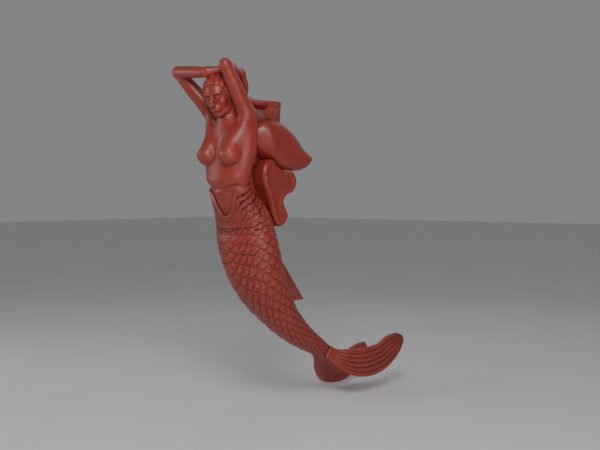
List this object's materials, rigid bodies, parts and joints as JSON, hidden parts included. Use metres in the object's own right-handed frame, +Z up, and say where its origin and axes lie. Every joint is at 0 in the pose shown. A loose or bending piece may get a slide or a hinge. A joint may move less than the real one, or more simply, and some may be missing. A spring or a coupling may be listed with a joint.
{
  "type": "ship figurehead",
  "caption": "Carved timber mermaid figurehead, hands behind her head, scaled tail and two flukes, on a raked knee with carved scrolls.",
  "frame": {"origin": "middle of the raked flat bed of the knee, the face that lies against the ship's stem", "axes": "+Z up, -Y towards the bow where the figure looks, +X the figure's left (port)"},
  "size_m": [0.4762, 1.4964, 1.7537],
  "materials": {
    "figure_paint": "carved timber under satin oxide-red paint, darker in the cuts",
    "knee_paint": "sawn and planed timber under oxide-red paint",
    "scroll_paint": "carved timber under satin oxide-red paint"
  },
  "bodies": {
    "root": {"mermaid_figure": "figure_paint", "timber_knee": "knee_paint", "upper_scroll_port": "scroll_paint", "upper_scroll_starboard": "scroll_paint", "lower_scroll_port": "scroll_paint", "lower_scroll_starboard": "scroll_paint"}
  },
  "joints": []
}
